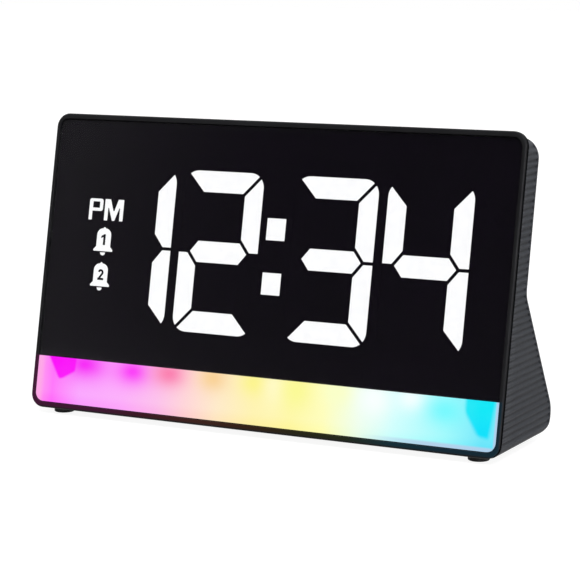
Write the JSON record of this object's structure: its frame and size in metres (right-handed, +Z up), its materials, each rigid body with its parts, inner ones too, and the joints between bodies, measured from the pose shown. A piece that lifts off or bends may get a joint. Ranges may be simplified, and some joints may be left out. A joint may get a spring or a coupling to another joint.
{
  "type": "colour changing alarm clock",
  "caption": "Bedside alarm clock with a leaning smoked display, white LED figures, a frosted colour light bar along its foot, a ribbed back and a snooze bar.",
  "frame": {"origin": "on the table under the middle of the clock's width and depth", "axes": "+X to the reader's right, +Y to the back, +Z up; the face looks along -Y and leans back 11.5 degrees"},
  "size_m": [0.19, 0.0504, 0.1116],
  "materials": {
    "satin_black": "satin moulded",
    "smoked_lens": "polished smoked acrylic",
    "frosted_lens": "frosted, lit from behind",
    "matt_black": "fine matt",
    "lit_opal": "opal, lit from behind",
    "white_plastic": "smooth white",
    "circuit_board": "solder resist",
    "black_steel": "black oxide",
    "bright_steel": "nickel plated",
    "charcoal_plastic": "ribbed, satin",
    "black_rubber": "matt",
    "chip_black": "moulded epoxy",
    "capacitor_can": "sleeved can",
    "ribbon_grey": "flat cable",
    "speaker_steel": "pressed steel and ferrite",
    "speaker_paper": "pressed paper"
  },
  "bodies": {
    "case": {"front_frame": "satin_black", "display_lens": "smoked_lens", "light_bar_lens": "frosted_lens", "display_mask": "matt_black", "hour_tens_diffuser": "lit_opal", "hour_units_diffuser": "lit_opal", "colon_diffuser": "lit_opal", "minute_tens_diffuser": "lit_opal", "minute_units_diffuser": "lit_opal", "indicator_diffuser": "lit_opal", "display_reflector": "white_plastic", "display_board": "circuit_board", "light_bar_tray": "white_plastic", "light_bar_board": "circuit_board", "case_screw_lower_left": "black_steel", "case_screw_upper_left": "black_steel", "case_screw_lower_right": "black_steel", "case_screw_upper_right": "black_steel", "board_screw_lower_left": "black_steel", "board_screw_upper_left": "black_steel", "board_screw_lower_right": "black_steel", "board_screw_upper_right": "black_steel", "rear_housing": "charcoal_plastic", "foot_front_left": "black_rubber", "foot_rear_left": "black_rubber", "foot_front_right": "black_rubber", "foot_rear_right": "black_rubber", "main_board": "circuit_board", "microcontroller": "chip_black", "capacitor": "capacitor_can", "main_board_screw_left": "bright_steel", "main_board_screw_right": "bright_steel", "display_ribbon": "ribbon_grey", "dc_jack": "chip_black", "dc_jack_pin": "bright_steel", "speaker_basket": "speaker_steel", "speaker_cone": "speaker_paper", "speaker_magnet": "speaker_steel", "cell_holder": "chip_black", "coin_cell": "bright_steel", "cell_contact_negative": "bright_steel", "cell_contact_positive": "bright_steel", "alarm_1_switch": "chip_black", "alarm_2_switch": "chip_black", "time_switch": "chip_black", "plus_switch": "chip_black", "minus_switch": "chip_black", "colour_switch": "chip_black", "snooze_switch_left": "chip_black", "snooze_switch_right": "chip_black"},
    "snooze": {"snooze_bar": "matt_black"},
    "alarm_1": {"alarm_1_button": "matt_black"},
    "alarm_2": {"alarm_2_button": "matt_black"},
    "time": {"time_button": "matt_black"},
    "plus": {"plus_button": "matt_black"},
    "minus": {"minus_button": "matt_black"},
    "colour": {"colour_button": "matt_black"},
    "door": {"battery_door": "charcoal_plastic", "battery_door_screw": "bright_steel"}
  },
  "joints": [
    {"name": "snooze_press", "type": "slide", "parent": "case", "child": "snooze", "axis": [0, -0.1994, -0.9799], "range_m": [0, 0.0008], "stiffness_N_per_m": 2500},
    {"name": "alarm_1_press", "type": "slide", "parent": "case", "child": "alarm_1", "axis": [0, -0.9799, 0.1994], "range_m": [0, 0.0005], "stiffness_N_per_m": 2500},
    {"name": "alarm_2_press", "type": "slide", "parent": "case", "child": "alarm_2", "axis": [0, -0.9799, 0.1994], "range_m": [0, 0.0005], "stiffness_N_per_m": 2500},
    {"name": "time_press", "type": "slide", "parent": "case", "child": "time", "axis": [0, -0.9799, 0.1994], "range_m": [0, 0.0005], "stiffness_N_per_m": 2500},
    {"name": "plus_press", "type": "slide", "parent": "case", "child": "plus", "axis": [0, -0.9799, 0.1994], "range_m": [0, 0.0005], "stiffness_N_per_m": 2500},
    {"name": "minus_press", "type": "slide", "parent": "case", "child": "minus", "axis": [0, -0.9799, 0.1994], "range_m": [0, 0.0005], "stiffness_N_per_m": 2500},
    {"name": "colour_press", "type": "slide", "parent": "case", "child": "colour", "axis": [0, -0.9799, 0.1994], "range_m": [0, 0.0005], "stiffness_N_per_m": 2500},
    {"name": "battery_door_off", "type": "slide", "parent": "case", "child": "door", "axis": [0, 0, -1], "range_m": [0, 0.012]}
  ]
}
